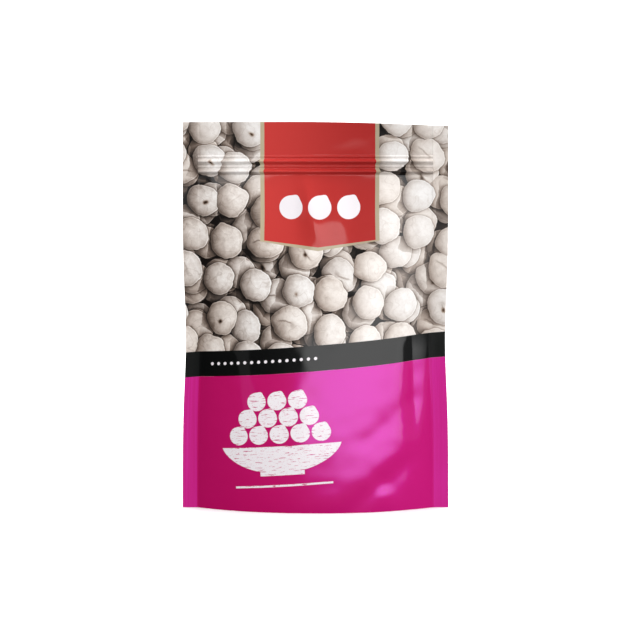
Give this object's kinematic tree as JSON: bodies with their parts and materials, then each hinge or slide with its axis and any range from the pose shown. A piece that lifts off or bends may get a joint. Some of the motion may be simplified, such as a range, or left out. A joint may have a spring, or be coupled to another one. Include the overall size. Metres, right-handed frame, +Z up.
{
  "type": "stand-up pouch of roasted chickpeas",
  "caption": "Shut stand-up zip pouch of roasted chickpeas: full rounded body, flat side welds, ribbed zip below a flat top and a folded gusset base.",
  "frame": {"origin": "middle of the footprint, on the surface that the pouch stands on", "axes": "+Z up along the height of the pouch, X across its width, and the printed front faces -Y"},
  "size_m": [0.16, 0.0509, 0.233],
  "materials": {
    "printed_film": "satin-gloss printed laminate: magenta lower field, a slanted black band, a picture of pale chickpeas above it and a red label with a gold edge at the top"
  },
  "bodies": {
    "root": {"pouch": "printed_film"}
  },
  "joints": []
}
